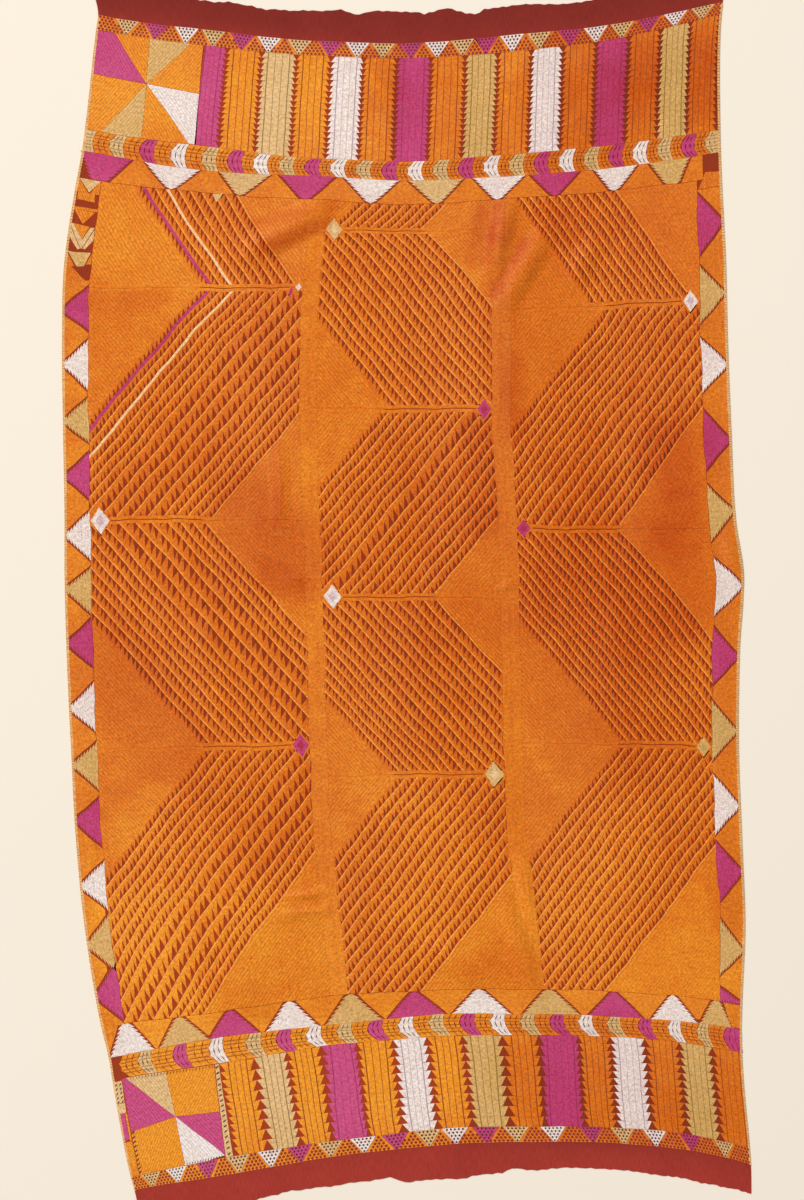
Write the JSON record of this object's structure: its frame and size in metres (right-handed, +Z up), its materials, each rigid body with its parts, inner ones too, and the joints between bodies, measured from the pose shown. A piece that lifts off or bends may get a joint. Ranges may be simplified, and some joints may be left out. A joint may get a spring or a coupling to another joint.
{
  "type": "phulkari shawl",
  "caption": "Large rectangular embroidered shawl laid flat: strips of cotton seamed side by side, covered in floss in zigzag rows, with striped ends and triangle borders.",
  "frame": {"origin": "centre of the laid shawl's bounding rectangle, on the surface it rests on", "axes": "+Y along the strips towards the top end, +X across them towards the right edge, +Z up from the flat underside to the worked face"},
  "size_m": [1.3781, 2.49, 0.0116],
  "materials": {
    "panel_left_cloth": "matt khaddar worked all over in orange floss",
    "panel_middle_cloth": "matt khaddar worked all over in orange floss",
    "panel_right_cloth": "matt khaddar worked all over in orange floss"
  },
  "bodies": {
    "root": {"panel_left": "panel_left_cloth", "panel_middle": "panel_middle_cloth", "panel_right": "panel_right_cloth"}
  },
  "joints": []
}
